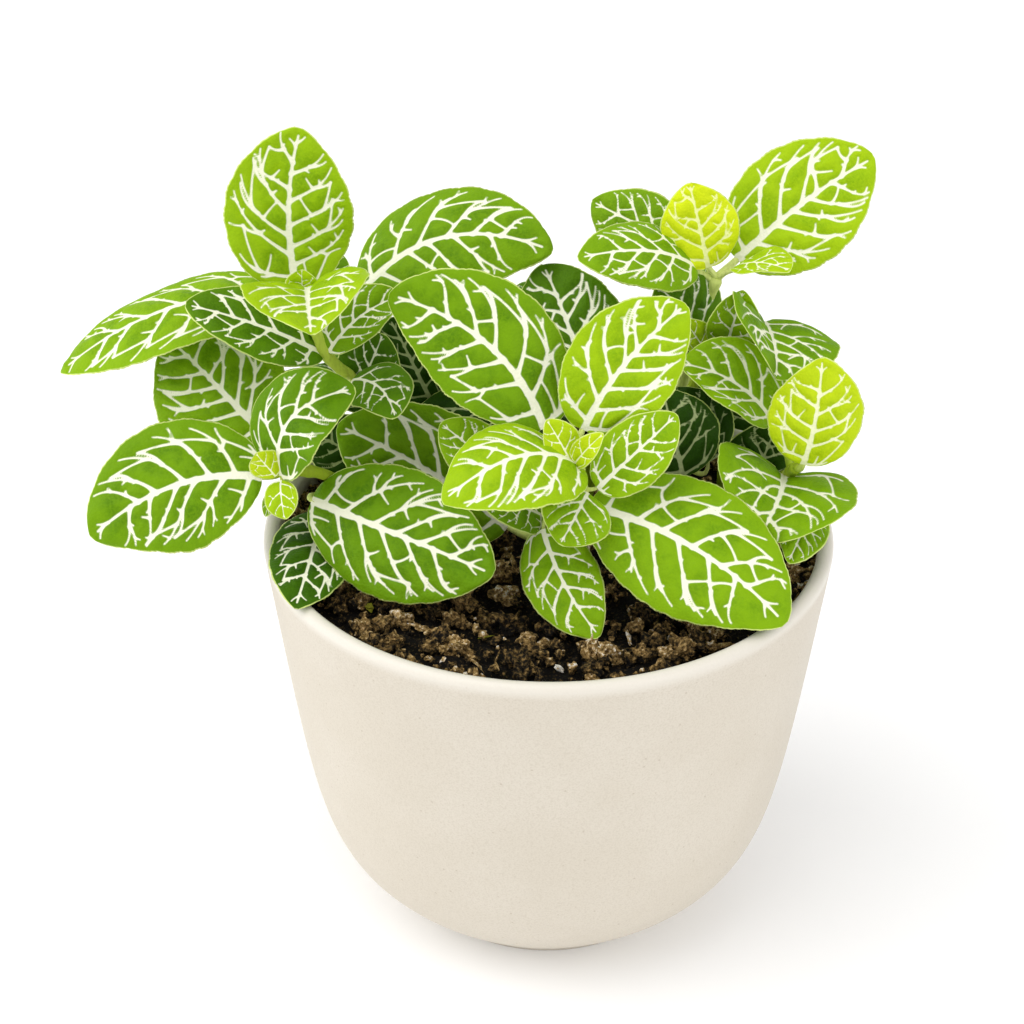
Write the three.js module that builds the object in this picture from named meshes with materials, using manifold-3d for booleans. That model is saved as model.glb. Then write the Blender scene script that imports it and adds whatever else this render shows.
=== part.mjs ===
// A potted nerve plant: leafy stems standing in potting soil, in a round cream ceramic pot.
// Millimetres, +Z up. The origin is the middle of the flat underside of the pot.
import * as THREE from "three";
import { mergeVertices } from "three/addons/utils/BufferGeometryUtils.js";
import Module from "manifold-3d";

const wasm = await Module();
wasm.setup();

// Pot
const POT_HEIGHT = 100;
const RIM_RADIUS = 65;
const FOOT_RADIUS = 32.3;
const BELLY_LOW = [55.5, 22]; // control points of the wall's curve, radius and height
const BELLY_HIGH = [54.2, 15];
const LIP_WALL = 3.6;
const BODY_WALL = 4.6;
const FLOOR_THICKNESS = 7;
const FOOT_BEVEL = 0.8;
const LIP_FADE = 15; // height over which the wall thins towards the lip
const CAVITY_HEIGHTS = [98.2, 94, 88, 72, 54, 36, 22, 13, 7];
const POT_FACETS = 36;
const WALL_STEPS = 10;
const LIP_STEPS = 5;

// Soil
const SOIL_TOP = 94;
const SOIL_BUMP = 0.9;
const SOIL_DROP = 1.5; // the soil's edge lies this much lower than its middle
const SOIL_RINGS = [54, 43, 32, 20, 9, 0]; // radii of the rings of corners in its top
const CLEARANCE = 0.3;

// Stems and leaves
const STEM_RADIUS = 1.6;
const PETIOLE_RADIUS = 0.85;
const STEM_SIDES = 6;
const PETIOLE_SIDES = 4;
const HOLE_RADIUS = 2.1; // of the hole that each stem stands in
const HOLE_SIDES = 8;
const STEM_FOOT = 84; // height of the buried end of every stem
const STEM_FREE = 98; // height up to which every stem stands straight
const STEM_STEPS = 7;
const PETIOLE_END = 0.16; // share of a blade's length up to which its petiole runs inside it
const BLADE_THICKNESS = 0.7;
const BLADE_END = 0.005; // share of its length by which a blade's blunt ends stop short of base and tip
const BLADE_ROWS = [[10, 4], [18, 5], [25, 6], [99, 7]]; // a blade under this width has so many rows of faces
const SMALL_BLADE = 10; // a blade narrower than this has two columns of faces, and a wider one four
const BELLY_SHIFT = 0.9; // under 1 it moves the widest place of a blade towards its base
const BASE_ROUND = 0.5; // exponent of a blade's outline at its base
const TIP_TAPER = 0.14; // how much the exponent grows up to the tip
const RIPPLE = 0.45; // how far the waved margin of a blade rises and falls
const RIPPLE_ALONG = 11; // radians of the wave from base to tip
const RIPPLE_ACROSS = 2;
const RIPPLE_WIDTH = 20; // a blade narrower than this has a flatter wave
const LONG_PETIOLE = 4; // a petiole that reaches further than this bends on its way
const PETIOLE_BEND = 0.35; // share of its reach at which a petiole straightens before the blade
const WELD = 1e-4; // corners nearer than this are the same corner
const MELT = 0.04; // corners nearer than this are melted together where pieces are joined

const COLOURS = {
  pot: 0xe9e1d2,
  soil: 0x2e2118,
  deep: 0x2c6a12,
  green: 0x4f9316,
  bright: 0x86bd1c,
};

// A closed geometry as a solid, with its shared vertices merged and its collapsed faces dropped.
function solidOf(geometry) {
  const bare = geometry.clone();
  bare.deleteAttribute("normal");
  bare.deleteAttribute("uv");
  const merged = mergeVertices(bare, WELD);
  const corners = merged.index.array;
  const kept = [];
  for (let i = 0; i < corners.length; i += 3) {
    const [a, b, c] = [corners[i], corners[i + 1], corners[i + 2]];
    if (a !== b && b !== c && c !== a) kept.push(a, b, c);
  }
  return new wasm.Manifold(
    new wasm.Mesh({
      numProp: 3,
      vertProperties: merged.attributes.position.array,
      triVerts: new Uint32Array(kept),
    }),
  );
}

function geometryOf(solid) {
  const mesh = solid.getMesh();
  const geometry = new THREE.BufferGeometry();
  geometry.setAttribute("position", new THREE.BufferAttribute(mesh.vertProperties, 3));
  geometry.setIndex(new THREE.BufferAttribute(mesh.triVerts, 1));
  geometry.computeVertexNormals();
  return geometry;
}

function finish(colour, roughness) {
  return new THREE.MeshStandardMaterial({ color: colour, roughness, metalness: 0, flatShading: true });
}

function lathe(profile) {
  const turned = new THREE.LatheGeometry(profile, POT_FACETS);
  turned.rotateX(Math.PI / 2);
  return turned;
}

// The outside of the pot wall, from the foot up to the rim.
const outerWall = new THREE.CubicBezierCurve(
  new THREE.Vector2(FOOT_RADIUS, FOOT_BEVEL),
  new THREE.Vector2(...BELLY_LOW),
  new THREE.Vector2(...BELLY_HIGH),
  new THREE.Vector2(RIM_RADIUS, POT_HEIGHT - LIP_WALL / 2),
);

function wallRadius(height) {
  let low = 0;
  let high = 1;
  for (let i = 0; i < 30; i++) {
    const middle = (low + high) / 2;
    if (outerWall.getPoint(middle).y < height) low = middle;
    else high = middle;
  }
  return outerWall.getPoint(low).x;
}

// Radius of the cavity: the wall thins from the body's thickness to the lip's near the top.
function cavityRadius(height) {
  const share = THREE.MathUtils.smoothstep(height, POT_HEIGHT - LIP_FADE, POT_HEIGHT - LIP_WALL / 2);
  return wallRadius(height) - THREE.MathUtils.lerp(BODY_WALL, LIP_WALL, share);
}

// Pot: one thrown ceramic body with a rounded lip and a flat underside
function makePot() {
  const profile = [new THREE.Vector2(0, 0), new THREE.Vector2(FOOT_RADIUS - FOOT_BEVEL, 0)];
  for (let i = 0; i <= WALL_STEPS; i++) profile.push(outerWall.getPoint(i / WALL_STEPS));
  const lip = LIP_WALL / 2;
  for (let i = 1; i < LIP_STEPS; i++) {
    const turn = (Math.PI * i) / LIP_STEPS;
    const radius = RIM_RADIUS - lip + lip * Math.cos(turn);
    profile.push(new THREE.Vector2(radius, POT_HEIGHT - lip + lip * Math.sin(turn)));
  }
  for (const height of CAVITY_HEIGHTS) {
    profile.push(new THREE.Vector2(cavityRadius(height), height));
  }
  profile.push(new THREE.Vector2(0, FLOOR_THICKNESS));
  const pot = new THREE.Mesh(lathe(profile), finish(COLOURS.pot, 0.45));
  pot.name = "pot";
  return pot;
}

// Height of the crumbly soil above its mean level.
function soilBump(x, y) {
  const broad = Math.sin(x * 0.19 + 1.2) * Math.cos(y * 0.17 - 0.6);
  const fine = Math.sin(x * 0.52 - y * 0.31) * Math.sin(y * 0.47 + x * 0.22 + 2.1);
  return SOIL_BUMP * (0.55 * broad + 0.45 * fine);
}

// Soil: a plug that fills the cavity just clear of its wall, with a plain hole for every stem
function makeSoil(stems) {
  const profile = [new THREE.Vector2(0, FLOOR_THICKNESS + CLEARANCE)];
  for (const height of [...CAVITY_HEIGHTS].reverse()) {
    if (height >= SOIL_TOP) continue;
    const level = Math.max(height, FLOOR_THICKNESS + CLEARANCE);
    profile.push(new THREE.Vector2(cavityRadius(level) - CLEARANCE, level));
  }
  const edge = SOIL_TOP - SOIL_DROP;
  profile.push(new THREE.Vector2(cavityRadius(edge) - CLEARANCE, edge));
  for (const radius of SOIL_RINGS) profile.push(new THREE.Vector2(radius, SOIL_TOP));
  const geometry = lathe(profile);
  const places = geometry.attributes.position;
  for (let i = 0; i < places.count; i++) {
    const [x, y, z] = [places.getX(i), places.getY(i), places.getZ(i)];
    if (z > SOIL_TOP - SOIL_DROP / 2) places.setZ(i, z + soilBump(x, y));
  }
  let soil = solidOf(geometry);
  for (const stem of stems) {
    const [x, y] = stem.foot;
    const bottom = STEM_FOOT - CLEARANCE;
    const depth = STEM_FREE - bottom;
    const drill = new THREE.CylinderGeometry(HOLE_RADIUS, HOLE_RADIUS, depth, HOLE_SIDES);
    drill.rotateX(Math.PI / 2);
    drill.translate(x, y, bottom + depth / 2);
    soil = soil.subtract(solidOf(drill));
  }
  const mesh = new THREE.Mesh(geometryOf(soil), finish(COLOURS.soil, 0.95));
  mesh.name = "soil";
  return mesh;
}

function tube(points, radius, sides, steps) {
  const ring = [];
  for (let i = 0; i < sides; i++) {
    const turn = (2 * Math.PI * i) / sides;
    ring.push(new THREE.Vector2(radius * Math.cos(turn), radius * Math.sin(turn)));
  }
  const extrudePath = new THREE.CatmullRomCurve3(points, false, "centripetal");
  const shape = new THREE.Shape(ring);
  return new THREE.ExtrudeGeometry(shape, { steps, extrudePath, bevelEnabled: false });
}

// Half of a blade's width at the share u of its length: round at the base, blunt at the tip.
function halfWidth(u, width) {
  const arc = Math.sin(Math.PI * Math.pow(u, BELLY_SHIFT));
  return (width / 2) * Math.pow(arc, BASE_ROUND + TIP_TAPER * u);
}

// A point of a blade, and the blade's normal there. v runs from -1 to 1 across it.
function bladePoint(leaf, u, v) {
  const base = new THREE.Vector3(...leaf.base);
  const run = new THREE.Vector3(...leaf.tip).sub(base);
  const length = run.length();
  const along = run.clone().normalize();
  const up = new THREE.Vector3(...leaf.face).normalize();
  up.addScaledVector(along, -up.dot(along)).normalize();
  const side = up.clone().cross(along);
  const swell = 4 * u * (1 - u) * length;
  const slope = 4 * (1 - 2 * u);
  const rib = base.clone().addScaledVector(run, u);
  rib.addScaledVector(up, leaf.arch * swell).addScaledVector(side, leaf.bow * swell);
  const heading = along.clone().addScaledVector(up, leaf.arch * slope);
  heading.addScaledVector(side, leaf.bow * slope).normalize();
  const lift = up.clone().addScaledVector(heading, -up.dot(heading)).normalize();
  const out = lift.clone().cross(heading);
  const reach = v * halfWidth(u, leaf.width);
  const fold = THREE.MathUtils.degToRad(leaf.fold);
  const cupped = (leaf.cup * reach * reach) / (leaf.width / 2);
  const wave = Math.sin(RIPPLE_ALONG * u + RIPPLE_ACROSS * v + leaf.width);
  const ripple = RIPPLE * v * v * wave * Math.min(1, leaf.width / RIPPLE_WIDTH);
  rib.addScaledVector(out, reach * Math.cos(fold));
  rib.addScaledVector(lift, Math.abs(reach) * Math.sin(fold) + cupped + ripple);
  return { place: rib, lift };
}

// A blade: a thin waved plate with the same triangles on both faces.
function blade(leaf) {
  const rows = BLADE_ROWS.find(([width]) => leaf.width < width)[1];
  const columns = leaf.width < SMALL_BLADE ? 2 : 4;
  const upper = [];
  const lower = [];
  for (let i = 0; i <= rows; i++) {
    const u = 0.5 - (0.5 - BLADE_END) * Math.cos((Math.PI * i) / rows);
    for (let j = 0; j <= columns; j++) {
      const { place, lift } = bladePoint(leaf, u, (2 * j) / columns - 1);
      upper.push(...place.clone().addScaledVector(lift, BLADE_THICKNESS / 2));
      lower.push(...place.clone().addScaledVector(lift, -BLADE_THICKNESS / 2));
    }
  }
  const across = columns + 1;
  const below = (rows + 1) * across;
  const faces = [];
  for (let i = 0; i < rows; i++) {
    for (let j = 0; j < columns; j++) {
      const a = i * across + j;
      const [b, c, d] = [a + 1, a + across + 1, a + across];
      faces.push(a, c, b, a, d, c);
      faces.push(a + below, b + below, c + below, a + below, c + below, d + below);
    }
  }
  const rim = [];
  for (let j = 0; j < columns; j++) rim.push(j);
  for (let i = 0; i < rows; i++) rim.push(i * across + columns);
  for (let j = columns; j > 0; j--) rim.push(rows * across + j);
  for (let i = rows; i > 0; i--) rim.push(i * across);
  rim.forEach((a, k) => {
    const b = rim[(k + 1) % rim.length];
    faces.push(a, b, b + below, a, b + below, a + below);
  });
  const geometry = new THREE.BufferGeometry();
  const places = new Float32Array([...upper, ...lower]);
  geometry.setAttribute("position", new THREE.BufferAttribute(places, 3));
  geometry.setIndex(faces);
  return geometry;
}

function stemPoints(stem) {
  const [x, y] = stem.foot;
  const levels = [STEM_FOOT, (STEM_FOOT + STEM_FREE) / 2, STEM_FREE];
  const points = levels.map((level) => new THREE.Vector3(x, y, level));
  for (const place of stem.path) points.push(new THREE.Vector3(...place));
  return points;
}

// A petiole: from inside its stem to a little way under the blade, along the midrib.
function petiole(stem, leaf) {
  const course = new THREE.CatmullRomCurve3(stemPoints(stem), false, "centripetal");
  const root = course.getPointAt(leaf.from);
  const base = new THREE.Vector3(...leaf.base);
  const reach = root.distanceTo(base);
  const inside = bladePoint(leaf, PETIOLE_END, 0).place;
  const bend = base.clone().sub(inside).setLength(reach * PETIOLE_BEND).add(base);
  const long = reach > LONG_PETIOLE;
  const points = long ? [root, bend.lerp(root, 0.25), base, inside] : [root, base, inside];
  return tube(points, PETIOLE_RADIUS, PETIOLE_SIDES, long ? 3 : 2);
}

// A leafy stem: stalk, petioles and blades grown together
function makeLeafyStem(stem) {
  let plant = solidOf(tube(stemPoints(stem), STEM_RADIUS, STEM_SIDES, STEM_STEPS));
  for (const leaf of stem.leaves) {
    plant = plant.add(solidOf(petiole(stem, leaf)));
    plant = plant.add(solidOf(blade(leaf)));
  }
  const joined = plant.asOriginal().simplify(MELT).decompose();
  joined.sort((a, b) => b.volume() - a.volume());
  const mesh = new THREE.Mesh(geometryOf(joined[0]), finish(stem.colour, 0.5));
  mesh.name = stem.name;
  return mesh;
}

// One leaf: where its petiole springs from the stem, as a share of the stem's length; the base and
// the tip of its blade; its width; the way its upper face looks; how far it arches above the line
// from base to tip and bows sideways, as shares of its length; the angle its halves fold up by;
// and how its margins cup up (plus) or droop (minus).
function leaf(from, base, tip, width, face, arch, bow, fold, cup) {
  return { from, base, tip, width, face, arch, bow, fold, cup };
}

const FRONT = [0, -0.85, 0.52]; // up and forwards

const stems = [
  {
    name: "stem_upper_left",
    colour: COLOURS.green,
    foot: [-31, 15],
    path: [[-35, 13, 116], [-44, 9, 132], [-50, 5, 142], [-54, 7, 156]],
    leaves: [
      leaf(1.0, [-56, 12, 153.5], [-54, 13, 192], 28.5, [0, -1, 0.15], 0.02, 0.05, 6, -0.1),
      leaf(0.9, [-59, 22, 149], [-111, 15, 131], 26, [0, -0.15, 1], 0.11, 0, -6, -0.1),
      leaf(0.8, [-50, 5, 141], [-80, 4, 154], 17.5, [-0.2, -0.5, 0.85], 0.07, 0, 12, -0.05),
      leaf(1.0, [-53, 4, 158], [-50, -26, 162], 30, [-0.08, -0.1, 1], 0.06, 0, 24, -0.1),
      leaf(0.8, [-49, 4, 142], [-33, 12, 152], 14, [0.1, -0.6, 0.8], 0.05, 0.08, 24, 0),
      leaf(1.0, [-54, 4, 157], [-54, 3, 163], 7.5, [0, -1, 0.2], 0.05, 0, 10, 0),
      leaf(0.98, [-51, 14, 153], [-46, 22, 157], 8, [0, -0.6, 0.8], 0.05, 0, 0, -0.1),
      leaf(0.68, [-44, 4, 135], [-34, -10, 133], 15, [0, -0.5, 0.9], 0.1, 0.14, 8, -0.15),
      leaf(0.62, [-43, 11, 128], [-37, 13, 142], 15, FRONT, 0.1, 0, 8, -0.15),
      leaf(0.25, [-36, 16, 104], [-56, 20, 113], 17.8, FRONT, 0.08, 0, 4, -0.1),
    ],
  },
  {
    name: "stem_lower_left",
    colour: COLOURS.green,
    foot: [-42, -1],
    path: [[-43, -3, 105], [-46, -5, 113], [-52, -9, 119], [-59, -14, 122]],
    leaves: [
      leaf(1.0, [-63, -14, 121], [-100.5, -22, 109.5], 29.5, [-0.1, -0.8, 0.6], 0.06, -0.11, -4, -0.1),
      leaf(1.0, [-59, -15, 121], [-42, -12, 141.5], 22, [-0.5, -0.6, 0.6], 0.26, 0.12, 6, -0.1),
      leaf(1.0, [-60, -16, 122], [-64, -18, 129], 7.5, [0, -1, 0.5], 0, 0, 0, -0.3),
      leaf(1.0, [-59, -16, 121], [-58, -21, 114], 8, [-0.2, -0.8, 0.5], 0.1, 0, 10, -0.1),
      leaf(0.97, [-60, -14, 118], [-63, -15, 111], 3.5, [-0.2, -0.8, 0.5], 0.1, 0, 10, -0.1),
      leaf(0.85, [-64, 2, 122], [-87, 22, 137], 31.5, [-0.1, -0.7, 0.65], 0.04, 0, -4, -0.08),
      leaf(0.5, [-53, -11, 113], [-12, -35, 109], 29.5, FRONT, 0.05, 0, -4, -0.12),
      leaf(0.3, [-51, 4, 101], [-55, -37, 101], 19, [0.06, -0.6, 0.8], 0.04, 0, 2, -0.14),
    ],
  },
  {
    name: "stem_front",
    colour: COLOURS.bright,
    foot: [2, -9],
    path: [[3, -13, 110], [5, -19, 120], [5, -26, 131]],
    leaves: [
      leaf(0.97, [-1, -16, 134], [-35, -6, 161], 28, FRONT, 0.05, -0.13, 6, -0.08),
      leaf(0.97, [6.8, -20, 136], [29, -12, 162], 24, FRONT, 0.05, 0.06, 6, -0.08),
      leaf(1.0, [7, -26, 130], [-23, -42, 131], 26, [-0.2, -0.4, 0.9], 0.26, 0, -6, -0.12),
      leaf(0.9, [10, -26, 125], [27, -22, 141], 15, FRONT, 0.06, 0, 12, -0.05),
      leaf(1.0, [4, -28, 133], [-1, -26, 142], 9, [0.3, -0.8, 0.4], 0.05, 0, 24, 0),
      leaf(1.0, [5, -28, 132], [11, -30, 141], 6, [-0.3, -0.8, 0.5], 0.1, 0, 20, 0),
      leaf(0.88, [8, -26, 124], [2, -38, 118], 16, FRONT, 0.12, 0, 0, -0.12),
      leaf(0.8, [8.5, -24, 119], [50, -46, 103], 31, [0, -0.7, 0.75], 0.06, 0.07, -4, -0.12),
      leaf(0.62, [-1.5, -20, 111], [10.5, -42, 97], 17, [-0.1, -0.7, 0.7], 0.08, -0.05, 4, -0.1),
      leaf(0.6, [-1, -14, 110], [-16, -24, 121], 13, [0, -0.5, 0.8], 0.08, 0, 4, -0.1),
      leaf(0.38, [-9, -5, 102], [-48, 6, 122], 29, FRONT, 0.04, -0.04, 8, -0.06),
      leaf(0.75, [-11, -12, 121], [-24, -8, 131], 13, FRONT, 0.06, 0, 4, -0.05),
    ],
  },
  {
    name: "stem_upper_middle",
    colour: COLOURS.green,
    foot: [-20, 22],
    path: [[-23, 25, 115], [-29, 28, 132], [-36, 27, 144]],
    leaves: [
      leaf(1.0, [-43, 26, 145], [1, 22, 158], 29, [0.05, -0.55, 0.85], 0.16, 0.12, -4, -0.12),
      leaf(0.9, [-30, 34, 136], [-22, 48, 150], 22, [0, 0.8, 0.5], 0.05, 0, 6, -0.1),
      leaf(0.8, [-28, 36, 130], [-18, 66, 120], 27, [0, 0.5, 1], 0.12, 0, -4, -0.12),
      leaf(0.55, [-27, 20, 121], [-36, 21, 142], 17.8, FRONT, 0.06, 0, 4, -0.1),
    ],
  },
  {
    name: "stem_middle",
    colour: COLOURS.deep,
    foot: [9, 11],
    path: [[10, 9, 112], [10, 5, 126]],
    leaves: [
      leaf(1.0, [10, 2, 131], [-1, 24, 154], 26, [0.1, -0.8, 0.6], 0.05, 0, 8, -0.06),
      leaf(0.7, [6, 10, 118], [-30, 16.5, 120.5], 19, [0, -0.5, 1], 0.1, 0, 0, -0.1),
    ],
  },
  {
    name: "stem_upper_right",
    colour: COLOURS.bright,
    foot: [29, 25],
    path: [[31, 25, 120], [35, 24, 140], [38, 23, 151]],
    leaves: [
      leaf(1.0, [42.5, 26, 154], [73, 34, 176], 28, FRONT, 0.03, 0.03, 6, -0.08),
      leaf(1.0, [36, 22, 154], [31, 24, 174], 18, [0, -1, 0.2], 0.04, 0, 6, -0.2),
      leaf(0.98, [33, 22, 154], [6, 10, 162], 19, [-0.1, -0.5, 0.8], 0.16, 0, 0, -0.2),
      leaf(1.0, [42, 20, 155], [53, 10, 159], 14, [0.2, -0.3, 1], 0.1, 0, 12, -0.1),
      leaf(0.98, [32, 30, 154], [10, 44, 160], 17, FRONT, 0.06, 0, 4, -0.1),
      leaf(0.8, [36, 20, 137], [24, 18, 151.5], 22, [0, -0.7, 0.7], 0.08, 0, 4, -0.1),
    ],
  },
  {
    name: "stem_mid_right",
    colour: COLOURS.deep,
    foot: [25, 9],
    path: [[27, 9, 112], [33, 12, 130], [37, 15, 138]],
    leaves: [
      leaf(1.0, [40, 16, 137], [43, 13, 153], 13, [0, -1, 0.2], 0.05, 0, 20, 0),
      leaf(1.0, [35, 15, 137], [30, 12, 146], 8, [0.3, -0.8, 0.3], 0.05, 0, 20, 0),
      leaf(0.95, [48, 17, 143], [49.5, -7, 141], 31, [0.5, -0.2, 0.9], 0.08, 0, 27, -0.1),
      leaf(0.7, [48, 13, 117], [45, 17, 133], 17, [-0.2, -0.8, 0.5], 0.05, 0, 6, -0.1),
      leaf(0.5, [30, -6, 116], [25, 2, 134], 21, FRONT, 0.05, 0, 6, -0.08),
      leaf(0.5, [36, 0, 116], [28, 6, 132], 19, FRONT, 0.05, 0, 6, -0.08),
    ],
  },
  {
    name: "stem_right",
    colour: COLOURS.green,
    foot: [45, 3],
    path: [[48, 1, 105], [53.5, 0.5, 112], [55, -7, 119]],
    leaves: [
      leaf(0.85, [50, 0, 126], [29, 6, 138], 21, [0.06, -0.44, 1.06], 0.1, -0.08, 22, -0.04),
      leaf(1.0, [56, -11, 122], [58, -13, 150], 21, [0, -1, 0.2], 0.03, -0.03, 6, -0.15),
      leaf(1.0, [53, -1, 113.3], [44.8, -28.5, 112.6], 36, [0.23, -0.35, 1.2], 0.1, 0.03, 26, -0.07),
      leaf(0.75, [59, -8, 111], [52, -28, 107], 12, FRONT, 0.08, 0, 4, -0.1),
      leaf(0.4, [46, 8, 103], [52, 8, 122], 17.8, FRONT, 0.06, 0, 4, -0.1),
    ],
  },
  {
    name: "stem_back_left",
    colour: COLOURS.deep,
    foot: [-32, 31],
    path: [[-34, 32, 112], [-37, 32, 122]],
    leaves: [
      leaf(1.0, [-36, 34, 124], [-50, 62, 112], 24, [-0.2, 0.4, 1], 0.12, 0, -4, -0.12),
      leaf(0.95, [-42, 28, 120], [-76, 40, 108], 26, [-0.4, 0.1, 1], 0.12, 0, -4, -0.12),
      leaf(0.7, [-40, 30, 112], [-48, 54, 102], 22, [0, 0.5, 1], 0.12, 0, -4, -0.12),
    ],
  },
  {
    name: "stem_back_middle",
    colour: COLOURS.deep,
    foot: [2, 31],
    path: [[3, 32, 112], [3, 34, 126]],
    leaves: [
      leaf(1.0, [6, 34, 128], [14, 66, 116], 28, [0, 0.5, 1], 0.12, 0, -4, -0.12),
      leaf(0.95, [-2, 34, 124], [-14, 60, 108], 26, [-0.1, 0.5, 1], 0.12, 0, -4, -0.12),
      leaf(1.0, [4, 38, 130], [-4, 56, 133], 20, [0, 0.5, 1], 0.08, 0, 6, -0.1),
      leaf(0.6, [2, 30, 112], [6, 56, 102], 22, [0, 0.5, 1], 0.1, 0, -4, -0.12),
    ],
  },
  {
    name: "stem_back_right",
    colour: COLOURS.deep,
    foot: [42, 28],
    path: [[43, 30, 112], [41, 33, 126]],
    leaves: [
      leaf(1.0, [38, 36, 128], [42, 62, 117], 24, [0, 0.5, 1], 0.12, 0, -4, -0.12),
      leaf(0.95, [46, 28, 126], [70, 44, 112], 26, [0.4, 0.3, 1], 0.12, 0, -4, -0.12),
      leaf(1.0, [36, 34, 138], [26, 52, 148], 22, [0, 0.7, 0.8], 0.08, 0, 6, -0.1),
      leaf(0.7, [38, 28, 116], [36, 58, 104], 25, [0, 0.5, 1], 0.12, 0, -4, -0.12),
      leaf(0.6, [50, 18, 116], [70, 26, 106], 24, [0.5, 0.2, 1], 0.12, 0, -4, -0.12),
    ],
  },
];

const plant = new THREE.Group();
plant.add(makePot());
plant.add(makeSoil(stems));
for (const stem of stems) plant.add(makeLeafyStem(stem));

export default plant;
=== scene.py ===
import cmath
import math
import random
from collections import namedtuple

import bmesh
import bpy
import numpy as np
from mathutils import Euler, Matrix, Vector, noise


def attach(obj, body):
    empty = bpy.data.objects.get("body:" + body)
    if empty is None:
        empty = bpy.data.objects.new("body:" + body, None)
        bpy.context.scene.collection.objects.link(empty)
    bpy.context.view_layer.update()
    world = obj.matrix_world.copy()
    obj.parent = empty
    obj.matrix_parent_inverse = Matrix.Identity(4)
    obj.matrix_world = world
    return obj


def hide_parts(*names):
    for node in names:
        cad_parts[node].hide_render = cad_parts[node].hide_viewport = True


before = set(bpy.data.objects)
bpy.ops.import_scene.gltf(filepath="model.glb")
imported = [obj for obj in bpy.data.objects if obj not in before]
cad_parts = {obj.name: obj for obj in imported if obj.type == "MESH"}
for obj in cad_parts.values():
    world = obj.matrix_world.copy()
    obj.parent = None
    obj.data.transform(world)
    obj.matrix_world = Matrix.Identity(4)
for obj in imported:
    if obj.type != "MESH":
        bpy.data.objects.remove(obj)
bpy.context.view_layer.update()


# Pot: one round stoneware body with a rounded lip and a narrow flat foot. It is glazed in a matte cream
# that is finely speckled, and the glaze is a little smoother where it runs over the lip. The lip is painted
# paler as a painted highlight, and the inner wall above the soil carries soil stain and painted shade.
MM = 0.001
POT_HEIGHT = 100
RIM_RADIUS = 65
FOOT_RADIUS = 32.3
BELLY = [Vector((FOOT_RADIUS, 0.8)), Vector((55.5, 22)), Vector((54.2, 15)), Vector((RIM_RADIUS, 98.2))]
LIP_RADIUS = 1.8
LIP_WALL = 3.6
BODY_WALL = 4.6
LIP_FADE = 15
POT_FLOOR = 7
WALL_STEPS = 60
LIP_STEPS = 10
POT_STEPS = 144
CREAM = (0.645, 0.592, 0.505, 1)
CREAM_STAIN = (0.625, 0.570, 0.480, 1)
CREAM_SPECK = (0.50, 0.44, 0.35, 1)
CREAM_DOT = (0.36, 0.28, 0.19, 1)
# painted highlight: the paler cream painted on the lip
CREAM_LIP_HIGHLIGHT = (0.74, 0.70, 0.625, 1)
# soil stain and painted shade on the inner wall just above the soil
SOIL_STAIN_AND_SHADE = (0.075, 0.045, 0.022, 1)
CREAM_PATCH = 30 * MM
STAIN_AND_SHADE_PATCH = 4 * MM
SPECK_SCALE = 2400.0
DOT_SCALE = 260.0
PIT_SCALE = 700.0
LIP_HIGHLIGHT_BAND = (96.5 * MM, 98.5 * MM)
SMOOTH_LIP = (95.5 * MM, 99 * MM)
STAIN_AND_SHADE_REACH = (62.2 * MM, 61.8 * MM)
STAIN_AND_SHADE_TOP = (98.8 * MM, 96.2 * MM)
STAIN_AND_SHADE_FOOT = (84 * MM, 86 * MM)


def add_node(tree, kind, inputs=None, **settings):
    """A shader node with its settings, and its inputs set to values or joined to other nodes' sockets."""
    node = tree.nodes.new(kind)
    for name, value in settings.items():
        setattr(node, name, value)
    for name, value in (inputs or {}).items():
        if isinstance(value, bpy.types.NodeSocket):
            tree.links.new(value, node.inputs[name])
        else:
            node.inputs[name].default_value = value
    return node


def colour_ramp(tree, factor, stops):
    ramp = add_node(tree, "ShaderNodeValToRGB", {"Fac": factor})
    ramp.color_ramp.elements.remove(ramp.color_ramp.elements[1])
    ramp.color_ramp.elements[0].position = stops[0][0]
    ramp.color_ramp.elements[0].color = stops[0][1]
    for place, colour in stops[1:]:
        ramp.color_ramp.elements.new(place).color = colour
    return ramp.outputs["Color"]


def blend_colours(tree, factor, first, second):
    """Sockets 6 and 7 of a colour mix are its two colours, and output 2 is the mixed colour."""
    return add_node(tree, "ShaderNodeMix", {0: factor, 6: first, 7: second}, data_type="RGBA").outputs[2]


def graded(tree, value, start, end, low=0.0, high=1.0):
    """A value that goes from low to high while another one goes from start to end."""
    limits = {"Value": value, "From Min": start, "From Max": end, "To Min": low, "To Max": high}
    return add_node(tree, "ShaderNodeMapRange", limits).outputs[0]


def product(tree, first, second):
    return add_node(tree, "ShaderNodeMath", {0: first, 1: second}, operation="MULTIPLY").outputs[0]


def position(tree):
    return add_node(tree, "ShaderNodeTexCoord").outputs["Object"]


def new_material(name, roughness, specular):
    material = bpy.data.materials.new(name)
    material.use_nodes = True
    shader = material.node_tree.nodes["Principled BSDF"]
    shader.inputs["Roughness"].default_value = roughness
    shader.inputs["Specular IOR Level"].default_value = specular
    return material, material.node_tree, shader


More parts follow.
